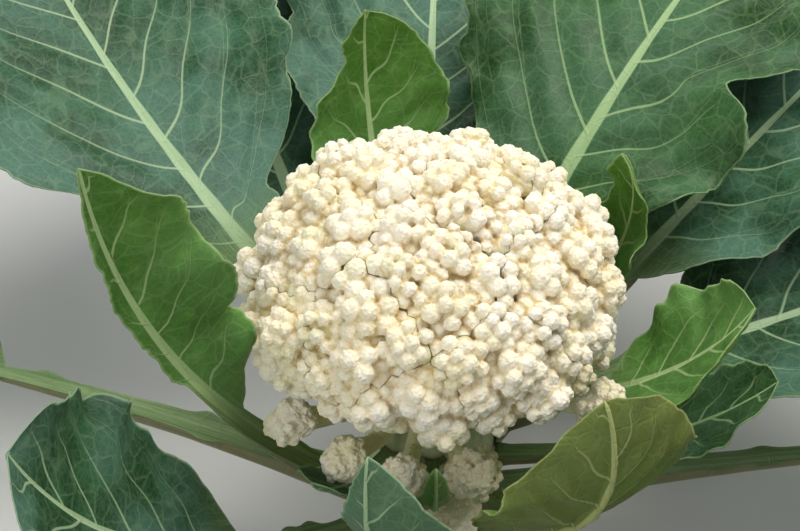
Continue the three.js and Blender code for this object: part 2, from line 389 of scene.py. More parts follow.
# The colours of each leaf look, how much wax bloom it has and how much light comes through it.
LOOKS = {
    "outer": {
        "blade": (0.030, 0.108, 0.042), "blade_light": (0.052, 0.155, 0.066),
        "blade_dark": (0.014, 0.062, 0.022), "under": (0.11, 0.21, 0.11),
        "vein": (0.42, 0.58, 0.34), "bloom": (0.095, 0.205, 0.165), "bloom_share": 0.62, "glow": 0.08},
    "green": {
        "blade": (0.027, 0.100, 0.021), "blade_light": (0.050, 0.150, 0.036),
        "blade_dark": (0.012, 0.055, 0.009), "under": (0.085, 0.17, 0.05),
        "vein": (0.34, 0.50, 0.24), "bloom": (0.070, 0.165, 0.095), "bloom_share": 0.45, "glow": 0.08},
    "young": {
        "blade": (0.095, 0.255, 0.032), "blade_light": (0.150, 0.350, 0.060),
        "blade_dark": (0.060, 0.180, 0.020), "under": (0.190, 0.340, 0.070),
        "vein": (0.48, 0.64, 0.30), "bloom": (0.17, 0.34, 0.14), "bloom_share": 0.25, "glow": 0.22},
    "olive": {
        "blade": (0.090, 0.200, 0.030), "blade_light": (0.140, 0.260, 0.045),
        "blade_dark": (0.055, 0.130, 0.016), "under": (0.185, 0.210, 0.045),
        "vein": (0.46, 0.50, 0.20), "bloom": (0.15, 0.26, 0.10), "bloom_share": 0.25, "glow": 0.16},
}


def side_vein_masks(n, across):
    """Where the side veins run, and where each of them forks near the edge."""
    rung = n.attribute("rung")
    gap = n.attribute("rung_gap")
    nearest = n.math("ABSOLUTE", n.math("SUBTRACT", rung, n.math("ROUND", rung)))
    width = n.ramp(across, 0.0, 1.0, 0.95, 0.30)
    side = n.ramp(n.math("DIVIDE", n.math("MULTIPLY", nearest, gap), width), 0.35, 1.05, 1.0, 0.0)
    fork_path = n.ramp(across, 0.42, 1.05, 0.0, 0.42)
    beside_fork = n.math("ABSOLUTE", n.math("SUBTRACT", n.math("FRACT", rung), fork_path))
    fork = n.ramp(n.math("MULTIPLY", beside_fork, gap), 0.15, 0.6, 1.0, 0.0)
    fork = n.math("MULTIPLY", fork, n.ramp(across, 0.40, 0.6))
    return n.math("MAXIMUM", side, n.math("MULTIPLY", fork, 0.45))


def net_masks(n, net):
    """A coarse and a fine net of small veins, as the edges of warped cells."""
    warp = n.add("TexNoise", {"Vector": net, "Scale": 90.0, "Detail": 2.0}).outputs["Color"]
    warped = n.add("VectorMath", {0: warp, 1: (0.006, 0.006, 0.0), 2: net}, operation="MULTIPLY_ADD")
    masks = []
    for scale, thin, wide in ((95.0, 0.01, 0.075), (330.0, 0.02, 0.16)):
        edge = n.add("TexVoronoi", {"Vector": warped.outputs[0], "Scale": scale},
                     feature="DISTANCE_TO_EDGE").outputs["Distance"]
        masks.append(n.ramp(edge, thin, wide, 1.0, 0.0))
    return masks


def leaf_material(name, look):
    """A leaf: veins from the surface's own measures, a fine net between them and a waxy bloom."""
    n = Nodes(name)
    tint = {key: colour(*value) for key, value in look.items() if isinstance(value, tuple)}
    net = n.add("UVMap", uv_map="leaf_mm").outputs[0]
    place = n.add("TexCoord").outputs["Object"]
    across = n.attribute("across")
    below = n.attribute("below")
    stalk = n.attribute("stalk")
    veins = side_vein_masks(n, across)
    coarse, finest = net_masks(n, net)
    rib = n.ramp(n.attribute("rib_distance"), 0.82, 1.12, 1.0, 0.0)
    edge = n.ramp(n.attribute("edge_distance"), 0.3, 1.5, 1.0, 0.0)
    mottling = n.noise(place, 34.0, 4.0)
    bloom = n.ramp(n.noise(place, 17.0, 3.0), 0.36, 0.66, 0.0, look["bloom_share"])
    tone = n.mix(n.ramp(mottling, 0.40, 0.62), tint["blade_dark"], tint["blade"])
    tone = n.mix(n.ramp(n.noise(place, 110.0, 3.0), 0.5, 0.72, 0.0, 0.55), tone, tint["blade_light"])
    tone = n.mix(n.math("MULTIPLY", below, 0.7), tone, tint["under"])
    tone = n.mix(bloom, tone, tint["bloom"])
    vein_share = n.ramp(across, 0.05, 0.9, 0.70, 0.14)
    for mask, share in ((finest, 0.06), (coarse, 0.09), (veins, vein_share), (edge, 0.55), (rib, 0.92)):
        tone = n.mix(n.math("MULTIPLY", mask, share), tone, tint["vein"])
    stripes = n.add("Mapping", {"Vector": net, "Scale": (900.0, 25.0, 1.0)}).outputs[0]
    fibre = n.noise(stripes, 1.0, 3.0)
    flush = n.mix(n.ramp(fibre, 0.35, 0.7), colour(0.10, 0.175, 0.055), colour(0.20, 0.29, 0.11))
    flush = n.mix(n.math("MULTIPLY", below, 0.65), flush, colour(0.20, 0.13, 0.075))
    tone = n.mix(n.math("MULTIPLY", stalk, 0.85), tone, flush)
    fibrous = n.math("MULTIPLY", stalk, 0.5)
    relief = n.total((veins, 0.55), (coarse, 0.22), (finest, 0.08), (fibre, fibrous))
    height = n.total((relief, n.ramp(below, 0.0, 1.0, -0.6, 1.0)), (n.noise(place, 700.0, 3.0), 0.16))
    bump = n.add("Bump", {"Height": height, "Strength": 0.8, "Distance": 0.9 * MM}).outputs[0]
    shader = n.add("BsdfPrincipled", {
        "Base Color": tone, "Roughness": n.ramp(mottling, 0.35, 0.7, 0.42, 0.60),
        "Specular IOR Level": 0.24, "Normal": bump})
    through = n.mix(0.5, tone, colour(0.35, 0.55, 0.08))
    lit = n.add("BsdfTranslucent", {"Color": through, "Normal": bump})
    both = n.add("MixShader", {0: look["glow"], 1: shader.outputs[0], 2: lit.outputs[0]})
    return n.finish(both.outputs[0])


def stem_material():
    """Pale green and streaked along its length, browner at the scars and cream at the cut."""
    n = Nodes("stem_surface")
    place = n.add("TexCoord").outputs["Object"]
    patch = n.noise(place, 40.0, 4.0)
    streaks = n.noise(n.add("Mapping", {"Vector": place, "Scale": (260.0, 260.0, 12.0)}).outputs[0], 1.0)
    tone = n.mix(n.ramp(patch, 0.35, 0.65), colour(0.42, 0.48, 0.24), colour(0.60, 0.62, 0.38))
    tone = n.mix(n.ramp(streaks, 0.45, 0.7, 0.0, 0.5), tone, colour(0.33, 0.38, 0.17))
    tone = n.mix(n.attribute("scar"), tone, colour(0.50, 0.42, 0.27))
    tone = n.mix(n.attribute("cut"), tone, colour(0.72, 0.68, 0.48))
    height = n.math("ADD", streaks, n.math("MULTIPLY", patch, 0.6))
    bump = n.add("Bump", {"Height": height, "Strength": 0.5, "Distance": 0.6 * MM}).outputs[0]
    shader = n.add("BsdfPrincipled", {"Base Color": tone, "Normal": bump,
                                      "Roughness": n.ramp(patch, 0.3, 0.7, 0.5, 0.68),
                                      "Specular IOR Level": 0.4})
    return n.finish(shader.outputs[0])


# ---------------------------------------------------------------- curd
def dome_point(polar, azimuth):
    """A point of the curd's smooth outer shape, polar being the angle down from the crown."""
    rise = math.pi / 2 - polar
    if rise >= 0:
        radius = CURD_RADIUS * max(math.cos(rise), 0) ** DOME_TAPER
        height = CURD_RIM + CURD_HEIGHT * math.sin(rise)
    else:
        radius = CURD_RADIUS * math.cos(rise * UNDERSIDE_TUCK)
        height = CURD_RIM + CURD_HEIGHT * UNDERSIDE_HEIGHT * math.sin(rise)
    return np.array([radius * math.cos(azimuth), radius * math.sin(azimuth), height])


def dome_normal(polar, azimuth):
    """The dome's outward direction at one of its points."""
    step = 0.01
    down = dome_point(polar + step, azimuth) - dome_point(polar - step, azimuth)
    around = np.array([-math.sin(azimuth), math.cos(azimuth), 0.0])
    return unit(np.cross(down, around))


def crown(index, count):
    """The middle of a floret's crown, on the same golden-angle spiral as the solids."""
    span = 1 - math.cos(FLORET_SPAN)
    polar = math.acos(1 - (index + 0.5) / count * span)
    azimuth = index * GOLDEN_ANGLE
    ring = CURD_RADIUS * math.sin(polar)
    return np.array([ring * math.cos(azimuth), ring * math.sin(azimuth),
                     CURD_RIM + CURD_HEIGHT * math.cos(polar)])


def onto_dome(points):
    """Polar angles and azimuths of the dome's places nearest to some points."""
    ring = np.hypot(points[:, 0], points[:, 1]) / CURD_RADIUS
    lift = (points[:, 2] - CURD_RIM) / CURD_HEIGHT
    lift = np.where(lift < 0, lift / UNDERSIDE_HEIGHT, lift)
    rise = np.arctan2(lift, np.maximum(ring, 1e-6) ** (1 / DOME_TAPER))
    return math.pi / 2 - rise, np.arctan2(points[:, 1], points[:, 0])


def past_wall(points, own_crown, other_crown):
    """How far points are past the flat wall between two florets, and the wall's direction."""
    normal = unit(own_crown - other_crown)
    return (points - (own_crown + other_crown) / 2) @ normal, normal


def inside_walls(points, own, crowns, clearance):
    """Points kept at least a clearance inside the flat walls between one floret and the others."""
    for index, other in enumerate(crowns):
        if index != own:
            past, normal = past_wall(points, crowns[own], other)
            points = points - np.minimum(past - GAP / 2 - clearance, 0)[:, None] * normal
    return points


def even_places(spacing, turn):
    """Places all over the curd's dome, about one spacing apart, on a golden-angle spiral."""
    share = (1 - math.cos(LOWEST_KNOB)) / 2
    mean = CURD_RADIUS ** 0.62 * CURD_HEIGHT ** 0.38
    count = int(4 * math.pi * share * mean * mean / (spacing ** 2 * PACKING))
    polar = np.arccos(1 - (np.arange(count) + 0.5) / count * 2 * share)
    azimuth = np.arange(count) * GOLDEN_ANGLE + turn
    return np.array([dome_point(*angles) for angles in zip(polar, azimuth)])


def spread(places, wanted, rounds):
    """Places on the dome pushed apart until they are about the wanted distances from each other."""
    same = np.eye(len(places))
    for _ in range(rounds):
        apart = places[:, None] - places[None]
        distance = np.linalg.norm(apart, axis=2) + same
        push = np.maximum(wanted - distance, 0) / distance * (1 - same)
        places = places + 0.28 * np.einsum("ijk,ij->ik", apart, push)
        places = np.array([dome_point(*angles) for angles in zip(*onto_dome(places))])
    return places


def outward_at(places):
    """The dome's outward direction beside each place, with none taken right at the pole."""
    polar, azimuth = onto_dome(places)
    return np.array([dome_normal(*angles) for angles in zip(np.maximum(polar, 0.02), azimuth)])


def lobe_places(rng):
    """Where each rounded lobe of the curd meets the dome, with its radius and its rise."""
    places = even_places(LOBE_SPACING, 0.7)
    places = places + rng.normal(0, 3.0 * MM, places.shape)
    places = spread(places, LOBE_SPACING, 25)
    radii = LOBE_RADIUS * rng.uniform(0.85, 1.15, len(places))
    polar, azimuth = onto_dome(places)
    swell = 2.5 * MM * np.sin(3 * azimuth + 0.6) * np.sin(2 * polar)
    return places, radii, swell + rng.normal(0, 2.1 * MM, len(places))


def knob_places(lobes, rng):
    """Centre, radius and outward direction of every knob, over the lobes and down their clefts."""
    lobe_at, lobe_radius, lobe_rise = lobes
    places = even_places(KNOB_SPACING, 0.0)
    lobe_scale = rng.uniform(0.78, 1.10, len(lobe_at))
    sizes = KNOB_RADIUS * lobe_scale[owner_of(places, lobe_at)] * rng.uniform(0.76, 1.14, len(places))
    places = places + rng.normal(0, 1.6 * MM, places.shape)
    places = spread(places, (sizes[:, None] + sizes[None]) * KNOB_CROWDING, 30)
    outward = outward_at(places)
    beside = np.linalg.norm(places[:, None] - lobe_at[None], axis=2)
    bulge = np.sqrt(np.maximum(lobe_radius ** 2 - beside ** 2, 0)) - lobe_radius + lobe_rise
    nearest = np.argmax(bulge, axis=1)
    relief = np.maximum(bulge.max(axis=1), -LOBE_RELIEF)
    polar, _ = onto_dome(places)
    relief = relief + rng.normal(0, 1, len(places)) * (0.40 + 1.0 * smoothstep(1.0, 1.7, polar)) * MM
    lean = (places - lobe_at[nearest]) / lobe_radius[nearest, None]
    return places + outward * (relief - sizes)[:, None], sizes, unit(outward + 0.5 * lean)


def knobs_on(lobe, others, rng, scale=1.0, low=-0.35):
    """Knobs over the outer side of a lobe, where no other lobe covers them."""
    centre, radius, outward = lobe
    count = int(4 * math.pi * radius ** 2 / ((KNOB_SPACING * scale) ** 2 * PACKING))
    directions = sphere_directions(count, rng.uniform(0, PHASE_SPAN))
    directions = unit(directions + rng.normal(0, 0.10, directions.shape))
    directions = directions[directions @ outward > low]
    sizes = KNOB_RADIUS * scale * rng.uniform(0.66, 1.05, len(directions))
    reach = radius - sizes + rng.normal(0, 1.7 * MM * scale, len(directions))
    centres = centre + directions * reach[:, None]
    keep = np.ones(len(centres), dtype=bool)
    for other_centre, other_radius, _ in others:
        tips = centres + directions * sizes[:, None]
        keep &= np.linalg.norm(tips - other_centre, axis=1) > other_radius - 1.5 * MM
    return centres[keep], sizes[keep], directions[keep]


def granules_on(knobs, sizes, outward, rng, scale=1.0):
    """Granules over the outer side of each knob, where no other knob covers them."""
    centres, radii = [], []
    for knob, size, direction in zip(knobs, sizes, outward):
        count = int(4 * math.pi * size ** 2 / ((GRANULE_SPACING * scale) ** 2 * PACKING))
        directions = sphere_directions(count, rng.uniform(0, PHASE_SPAN))
        directions = unit(directions + rng.normal(0, 0.12, directions.shape))
        directions = directions[directions @ direction > -0.25]
        small = GRANULE_RADIUS * scale * rng.uniform(0.75, 1.25, len(directions))
        places = knob + directions * (size - 0.42 * small)[:, None]
        near = np.linalg.norm(knobs - knob, axis=1)
        close = (near > 1e-6) & (near < 2.6 * size)
        gaps = np.linalg.norm(places[:, None] - knobs[close][None], axis=2) - sizes[close][None]
        keep = gaps.min(axis=1) > -0.4 * MM if close.any() else np.ones(len(places), dtype=bool)
        centres.append(places[keep])
        radii.append(small[keep])
    return np.concatenate(centres), np.concatenate(radii)


def nearest_two(points, centres, radii, groups):
    """For each point, how far it is from the nearest ball and from the nearest of another group."""
    best = np.full(len(points), FAR)
    second = np.full(len(points), FAR)
    for group in np.unique(groups):
        distance = np.full(len(points), FAR)
        for centre, radius in zip(centres[groups == group], radii[groups == group]):
            distance = np.minimum(distance, np.linalg.norm(points - centre, axis=1) - radius)
        closer = distance < best
        second = np.where(closer, best, np.minimum(second, distance))
        best = np.where(closer, distance, best)
    return best, second


def curd_measures(piece, knobs, knob_sizes, knob_lobes, depth_of):
    """Stores how deep each point lies between granules, knobs and lobes, for the material's painted shade
    in those creases.
    """
    mesh = piece.data
    points = vertex_array(mesh)
    edges = edge_array(mesh)
    smooth = relax(points, edges, 4)
    normals = np.empty(len(mesh.vertices) * 3, dtype=np.float32)
    mesh.vertices.foreach_get("normal", normals)
    normals = normals.reshape(-1, 3)
    fine = np.einsum("ij,ij->i", smooth - points, normals) / (0.45 * MM)
    best, second = nearest_two(points, knobs, knob_sizes, np.arange(len(knobs)))
    knob = np.exp(-np.maximum(second - best, 0) / (1.6 * MM)) * smoothstep(-0.5 * MM, 1.7 * MM, second)
    _, beyond = nearest_two(points, knobs, knob_sizes, knob_lobes)
    lobe = np.exp(-np.maximum(beyond - best, 0) / (2.4 * MM)) * smoothstep(-0.5 * MM, 1.2 * MM, beyond)
    add_attribute(mesh, "fine_crease", np.clip(fine, 0, 1))
    add_attribute(mesh, "knob_crease", np.clip(knob, 0, 1))
    add_attribute(mesh, "lobe_crease", np.clip(lobe * depth_of(points), 0, 1))
    add_attribute(mesh, "stalk", smoothstep(1.2 * MM, 4.0 * MM, best))


def stem_radius_at(height):
    """The stem's radius, from the same turned profile as the solid."""
    taper = STEM_RADIUS * 0.45
    heights = [0, CURD_NECK * 0.35, CURD_NECK * 0.85, CURD_NECK + 8 * MM, STEM_TOP - 6 * MM, STEM_TOP]
    radii = [STEM_RADIUS, STEM_RADIUS + 1 * MM, STEM_NECK, STEM_NECK * 0.95, taper, 0]
    return np.interp(height, heights, radii, right=0)


def clear_of_stem(points):
    """Points pushed out of the stem and its clearance."""
    need = stem_radius_at(points[:, 2]) + GAP
    need = np.where(points[:, 2] > STEM_TOP + GAP, 0, need)
    ring = np.hypot(points[:, 0], points[:, 1])
    factor = np.where(ring < need, need / np.maximum(ring, 1e-6), 1.0)
    moved = points.copy()
    moved[:, 0] *= factor
    moved[:, 1] *= factor
    return moved


def shell_depth(points, low, high):
    """How far some points lie below the curd's outer shape: 0 at one depth and 1 at another."""
    level = np.hypot(points[:, 0], points[:, 1]) / CURD_RADIUS
    lift = np.maximum(points[:, 2] - CURD_RIM, 0) / CURD_HEIGHT
    return smoothstep(low, high, (1 - np.hypot(level, lift)) * CURD_RADIUS)


def ball_power(points, centres, radii):
    """Every point's power distance from every ball, which is equal on both sides of a shared wall."""
    return (points ** 2).sum(axis=1)[:, None] - 2 * points @ centres.T \
        + (centres ** 2).sum(axis=1) - radii ** 2


def parted(points, own, crowns, floret_balls):
    """Points kept on their own floret's side of every ball of the other florets."""
    own_centres, own_radii = floret_balls[own]
    others = [both for index, both in enumerate(floret_balls) if index != own]
    centres, radii = (np.concatenate(values) for values in zip(*others))
    near = (centres > points.min(axis=0) - KNOB_RADIUS) & (centres < points.max(axis=0) + KNOB_RADIUS)
    centres, radii = centres[near.all(axis=1)], radii[near.all(axis=1)]
    walls = [past_wall(points, crowns[own], other)[0]
             for index, other in enumerate(crowns) if index != own]
    close = np.flatnonzero(np.min(walls, axis=0) < 2 * KNOB_RADIUS)
    moved = points.copy()
    for start in range(0, len(close), POINTS_AT_ONCE):
        chosen = close[start:start + POINTS_AT_ONCE]
        some = moved[chosen]
        for _ in range(3):
            own_power = ball_power(some, own_centres, own_radii)
            power = ball_power(some, centres, radii)
            apart = own_centres[np.argmin(own_power, axis=1)] - centres[np.argmin(power, axis=1)]
            distance = np.maximum(np.linalg.norm(apart, axis=1), 1e-5)
            inside = (power.min(axis=1) - own_power.min(axis=1)) / (2 * distance) - GAP / 2
            some = some - (np.minimum(inside, 0) / distance)[:, None] * apart
        moved[chosen] = some
    return moved


def owner_of(points, crowns):
    """Which floret each point belongs to: the one with the nearest crown."""
    return np.argmin(np.linalg.norm(points[:, None] - crowns[None], axis=2), axis=1)


def of_floret(own, crowns, values):
    """The lobes or knobs of one floret: their places, and what else is known of them."""
    mine = owner_of(values[0], crowns) == own
    return [value[mine] for value in values]


def floret_ball_set(own, crowns, knobs):
    """The balls that shape one floret's skin: its knobs, and a larger one under each of them."""
    places, sizes, _ = of_floret(own, crowns, knobs)
    under = places - outward_at(places) * UNDER_DEPTH
    return (np.concatenate([places, under]),
            np.concatenate([sizes, np.full(len(under), UNDER_RADIUS)]))


def build_floret(name, own, crowns, lobes, knobs, floret_balls, material, rng):
    """One primary branch of the curd: a trunk from the stem, its branches, knobs and granules."""
    centre = crowns[own]
    root_height = max(min(CURD_NECK + 24 * MM, STEM_TOP - 14 * MM), centre[2] - 62 * MM)
    root = np.array([0.0, 0.0, min(root_height, STEM_TOP - 8 * MM)])
    heading = unit(centre - root)
    trunk = root + heading * TRUNK_LENGTH
    parts = [tapered_branch(np.linspace(root, trunk, 5), np.full(5, TRUNK_RADIUS))]
    places, sizes, outward = of_floret(own, crowns, knobs)
    parts.append(balls(places, sizes, ICO_162))
    parts.append(balls(*granules_on(places, sizes, outward, rng), ICO_12))
    parts.append(balls(*floret_balls[own], ICO_42))
    lobe_at, lobe_radius, _ = of_floret(own, crowns, lobes)
    cores = lobe_at - outward_at(lobe_at) * lobe_radius[:, None]
    cores = inside_walls(cores, own, crowns, CORE_RADIUS)
    parts.append(balls(cores, CORE_RADIUS, ICO_162))
    for core in cores:
        path = [trunk - heading * 8 * MM, trunk, (trunk + core) / 2, core]
        parts.append(tapered_branch(path, BRANCH_RADII))
    piece = remeshed(name + "_curd", parts, VOXEL)
    points = parted(vertex_array(piece.data), own, crowns, floret_balls)
    free = 1 - shell_depth(points, 10 * MM, 20 * MM)
    points = inside_walls(points, own, crowns, -OVERHANG * free)
    set_vertices(piece.data, clear_of_stem(points))
    curd_measures(piece, places, sizes, owner_of(places, lobes[0]),
                  lambda points: shell_depth(points, 2 * MM, 9 * MM))
    finish_piece(piece, name, material)


# The loose side florets: the middle of the head, its radius, and where each leaves the stem.
SIDE_FLORETS = {
    "side_floret_far_left": {"head": (-62, -46, 124), "radius": 13, "foot": 110},
    "side_floret_left": {"head": (-38, -62, 117), "radius": 12.5, "foot": 104},
    "side_floret_middle": {"head": (-12, -69, 113), "radius": 12, "foot": 108},
    "side_floret_right": {"head": (18, -66, 112), "radius": 14, "foot": 104},
    "side_floret_far_right": {"head": (76, -36, 125), "radius": 13, "foot": 114},
    "side_floret_low": {"head": (13, -64, 80), "radius": 13, "foot": 70},
}
SIDE_LOBES = 5


def build_side_floret(name, material, rng):
    """A small loose floret on its own bent stalk."""
    shape = SIDE_FLORETS[name]
    head = np.array(shape["head"]) * MM
    head_radius = shape["radius"] * MM
    heading = unit(head * [1, 1, 0])
    start = heading * 16 * MM + np.array([0, 0, shape["foot"] * MM])
    bend = start + (head - start) * 0.55 - np.array([0, 0, 5 * MM])
    lobes = []
    for direction in sphere_directions(SIDE_LOBES * 2)[::2]:
        direction = unit(direction * [1, 1, 0.8] + heading * 0.35 + [0, 0, 0.15])
        radius = head_radius * rng.uniform(0.52, 0.64)
        lobes.append((head + direction * (head_radius - radius), radius, direction))
    lobes.append((head + heading * head_radius * 0.36, head_radius * 0.6, heading))
    parts, knobs, sizes, knob_lobes = [], [], [], []
    for index, lobe in enumerate(lobes):
        others = lobes[:index] + lobes[index + 1:]
        places, radii, directions = knobs_on(lobe, others, rng, scale=0.70, low=-0.5)
        parts.append(balls(*granules_on(places, radii, directions, rng, 0.72), ICO_12))
        parts.append(balls(places, radii * 0.96, ICO_42))
        parts.append(balls([lobe[0]], lobe[1] * 0.45, ICO_162))
        parts.append(tapered_branch([bend, (bend + lobe[0]) / 2, lobe[0]],
                                    np.array([0.30, 0.26, 0.30]) * head_radius))
        knobs.append(places)
        sizes.append(radii)
        knob_lobes.append(np.full(len(radii), index))
    parts.append(tapered_branch([start, (start + bend) / 2, bend],
                                np.array([0.34, 0.33, 0.34]) * head_radius))
    piece = remeshed(name + "_curd", parts, VOXEL * 0.9)
    set_vertices(piece.data, clear_of_stem(vertex_array(piece.data)))
    curd_measures(piece, *(np.concatenate(values) for values in (knobs, sizes, knob_lobes)),
                  lambda points: np.full(len(points), 0.5))
    finish_piece(piece, name, material)


# ---------------------------------------------------------------- leaves
# The same leaves as the solids, in the order of LEAF_WORDS: millimetres and degrees, then the
# look of the blade and how strongly its edge is ruffled.
LEAF_WORDS = ("azimuth", "height", "length", "rise", "tip", "sweep", "roll", "width", "uneven",
              "point", "stalk", "cup", "foot", "look", "ruffle")
LEAVES = {
    "back_left_leaf": (138, 72, 330, 22, 34, -14, 0, 185, 0, 0.5, 0.3, 22, 11, "outer", 1.0),
    "back_left_lower_leaf": (116, 40, 335, 14, 38, -10, 0, 170, 0, 0.5, 0.32, 15, 11, "outer", 0.9),
    "back_leaf": (90, 66, 320, 22, 18, -4, 0, 180, 0, 0.5, 0.32, 18, 10, "outer", 0.9),
    "back_right_leaf": (57, 86, 300, 34, 14, -6, 0, 190, 0, 0.6, 0.26, 12, 11, "green", 1.2),
    "right_upper_leaf": (36, 45, 320, 34, 24, 2, 0, 140, 0, 0.5, 0.36, 18, 10, "outer", 0.9),
    "right_leaf": (12, 74, 270, 14, 6, 8, 0, 170, 0, 0.5, 0.36, 20, 10, "outer", 1.0),
    "right_low_leaf": (2, 28, 330, 9, -4, 2, 0, 150, 0, 0.5, 0.56, 15, 10, "outer", 0.8),
    "left_low_leaf": (172, 26, 350, 21, -8, -8, 0, 150, 0, 0.5, 0.56, 15, 10, "outer", 0.8),
    "front_left_leaf": (220, 25, 262, 16, 72, -14, -30, 120, 0, 0.6, 0.36, 20, 10, "outer", 1.0),
    "front_low_leaf": (264, 20, 290, 10, 4, 4, 0, 150, 0, 0.5, 0.34, 18, 10, "outer", 0.9),
    "front_right_low_leaf": (322, 40, 280, 6, 6, 2, 0, 140, 0, 0.5, 0.34, 18, 10, "outer", 0.9),
    "left_wrapper_leaf": (209, 40, 290, 43, 86, -12, -78, 50, -0.7, 0.85, 0.4, 16, 9, "young", 1.7),
    "right_cupped_leaf": (352, 98, 150, 2, 66, 2, 0, 74, 0, 0.6, 0.42, 36, 7, "young", 0.8),
    "right_dark_leaf": (347, 62, 160, 10, 52, 4, 0, 56, 0, 0.6, 0.42, 20, 6, "green", 0.8),
    "front_right_wrapper_leaf": (307, 62, 182, 4, 116, 8, -14, 112, 0, 0.8, 0.3, 22, 8, "olive", 0.7),
    "back_inner_leaf": (103, 104, 192, 0, 106, 0, 0, 80, 0, 0.6, 0.34, 26, 7, "young", 0.8),
    "right_inner_leaf": (29, 100, 158, 0, 122, 0, 0, 40, 0, 0.9, 0.4, 30, 5, "young", 2.2),
    "front_small_leaf": (256, 56, 166, 8, 108, 0, -10, 56, 0.5, 0.9, 0.36, 24, 6, "outer", 0.6),
    "front_curled_leaf": (271, 86, 100, -8, 100, 0, 0, 15, 0, 0.8, 0.4, 50, 4, "young", 1.0),
    "front_left_small_leaf": (237, 86, 88, 0, 60, 0, 0, 34, 0, 0.7, 0.4, 24, 5, "green", 0.8),
}
# Deep bays in the edge of some blades: side, share of the length, depth and half-length in mm.
# A negative depth is a bulge.
BAYS = {
    "back_right_leaf": [("right", 0.63, 46, 20), ("left", 0.44, 10, 12)],
    "back_inner_leaf": [("right", 0.60, 7, 8), ("left", 0.84, 22, 34)],
    "back_left_leaf": [("right", 0.40, 16, 10), ("left", 0.52, 14, 12)],
    "left_wrapper_leaf": [("right", 0.87, -9, 20), ("right", 0.60, 9, 13), ("left", 0.50, 8, 8)],
    "back_leaf": [("right", 0.55, 14, 12), ("left", 0.7, 12, 12)],
    "right_leaf": [("right", 0.66, 18, 12)],
    "front_left_leaf": [("left", 0.55, 9, 9)],
    "back_left_lower_leaf": [("left", 0.6, 14, 12)],
    "right_cupped_leaf": [("right", 0.56, 6, 6)],
}
BEND = 1.3
ROLLED_BY = 0.5
BLADE = 0.9 * MM
VEIN_PITCH = 46 * MM
TOOTH_PITCH = 8 * MM
TOOTH_HEIGHT = 1.5 * MM
RUFFLE_HEIGHT = 9.5 * MM
QUILT_HEIGHT = 2.2 * MM
RIDGE_DEPTH = 0.9 * MM
BROAD_BLADE = 60 * MM


def leaf_facts(values):
    """One leaf's numbers by name, in metres and radians."""
    facts = dict(zip(LEAF_WORDS, values))
    for word in ("height", "length", "width", "foot"):
        facts[word] *= MM
    for word in ("azimuth", "rise", "tip", "sweep", "roll", "cup"):
        facts[word] = math.radians(facts[word])
    return facts


def leaf_heading(leaf, share):
    """Directions along, across and up from the midrib, at shares of its length."""
    elevation = leaf["rise"] + (leaf["tip"] - leaf["rise"]) * share ** BEND
    turn = leaf["azimuth"] + leaf["sweep"] * share ** 1.5
    along = np.stack([np.cos(elevation) * np.cos(turn), np.cos(elevation) * np.sin(turn),
                      np.sin(elevation)], axis=-1)
    side = np.stack([-np.sin(turn), np.cos(turn), np.zeros_like(turn)], axis=-1)
    return along, side, np.cross(along, side)


def leaf_midrib(leaf, stations):
    """Places along the midrib with their side and up directions."""
    share = np.linspace(0, 1, stations)
    middle = (share[1:] + share[:-1]) / 2
    steps, _, _ = leaf_heading(leaf, middle)
    start = np.array([math.cos(leaf["azimuth"]), math.sin(leaf["azimuth"]), 0]) * STEM_RADIUS * 0.7
    start[2] = leaf["height"]
    places = start + np.concatenate([np.zeros((1, 3)), np.cumsum(steps, axis=0)]) \
        * leaf["length"] / (stations - 1)
    _, side, up = leaf_heading(leaf, share)
    roll = (leaf["roll"] * np.minimum(1, share / ROLLED_BY))[:, None]
    rolled_side = side * np.cos(roll) + up * np.sin(roll)
    rolled_up = up * np.cos(roll) - side * np.sin(roll)
    return share, places, rolled_side, rolled_up


def blade_half_width(leaf, share):
    """Half of the plain oval blade's width at shares of the leaf's length."""
    along = np.clip((share - leaf["stalk"]) / (1 - leaf["stalk"]), 0, 1)
    start, end = 0.75, leaf["point"]
    peak = (start / (start + end)) ** start * (end / (start + end)) ** end
    return leaf["width"] / 2 * along ** start * (1 - along) ** end / peak


def waves(value, rng, count, low, high):
    """A smooth random curve: a sum of sines of random pitch and phase."""
    total = np.zeros_like(value)
    for _ in range(count):
        total += np.sin(value * rng.uniform(low, high) * TURN + rng.uniform(0, PHASE_SPAN)) / count
    return total


